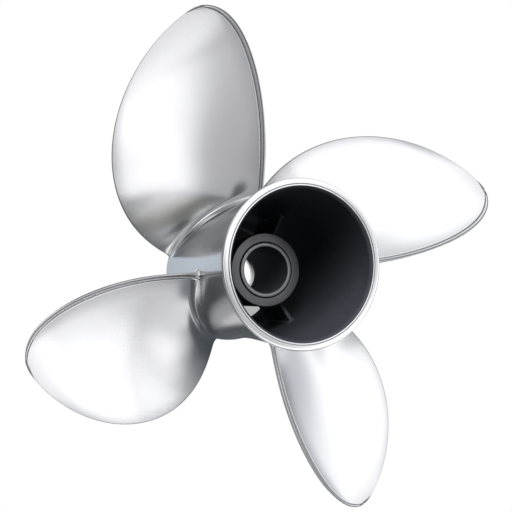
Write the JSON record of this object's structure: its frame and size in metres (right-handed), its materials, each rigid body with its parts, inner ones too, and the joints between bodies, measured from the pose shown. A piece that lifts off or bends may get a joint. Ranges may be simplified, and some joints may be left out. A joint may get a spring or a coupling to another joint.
{
  "type": "boat propeller",
  "caption": "Left-hand boat propeller in polished steel, with a hollow flared barrel for the exhaust, a ribbed inner hub and raked blades.",
  "frame": {"origin": "centre of the barrel's front rim, which meets the gearcase", "axes": "+Z along the propeller shaft towards the stern, the way the blades' trailing edges face; +X and +Y across the shaft"},
  "size_m": [0.3664, 0.3664, 0.142],
  "materials": {
    "polished_steel": "mirror-polished stainless steel",
    "cast_steel": "matt dark grey, as cast and blasted",
    "machined_steel": "fine turned, satin grey",
    "black_rubber": "matt black"
  },
  "bodies": {
    "root": {"outer_barrel": "polished_steel", "blade_1": "polished_steel", "blade_2": "polished_steel", "blade_3": "polished_steel", "blade_4": "polished_steel", "inner_hub": "cast_steel", "rib_1": "cast_steel", "rib_2": "cast_steel", "rib_3": "cast_steel", "drive_sleeve": "machined_steel", "rubber_bush": "black_rubber"}
  },
  "joints": []
}
